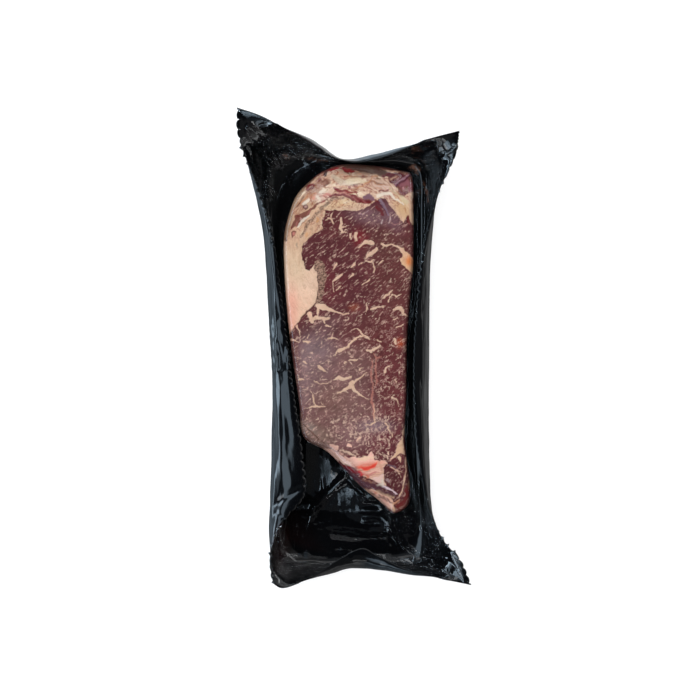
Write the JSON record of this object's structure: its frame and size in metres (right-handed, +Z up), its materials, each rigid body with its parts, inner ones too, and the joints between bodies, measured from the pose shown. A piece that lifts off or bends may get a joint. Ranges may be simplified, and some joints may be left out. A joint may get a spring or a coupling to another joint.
{
  "type": "striploin steak in a shrink pack",
  "caption": "Raw striploin steak sealed between a black formed film and a clear film, with curled, scalloped flanges and flared corner ears.",
  "frame": {"origin": "on the table, under the middle of the pack", "axes": "+Y along the pack's length, towards the steak's thick fat end; +X to the right seen from above; +Z up, out of the clear window"},
  "size_m": [0.1457, 0.2978, 0.0379],
  "materials": {
    "raw_beef": null,
    "black_film": "glossy black shrink film",
    "clear_film": "glossy clear shrink film"
  },
  "bodies": {
    "root": {"steak": "raw_beef", "base_film": "black_film", "top_film": "clear_film"}
  },
  "joints": []
}
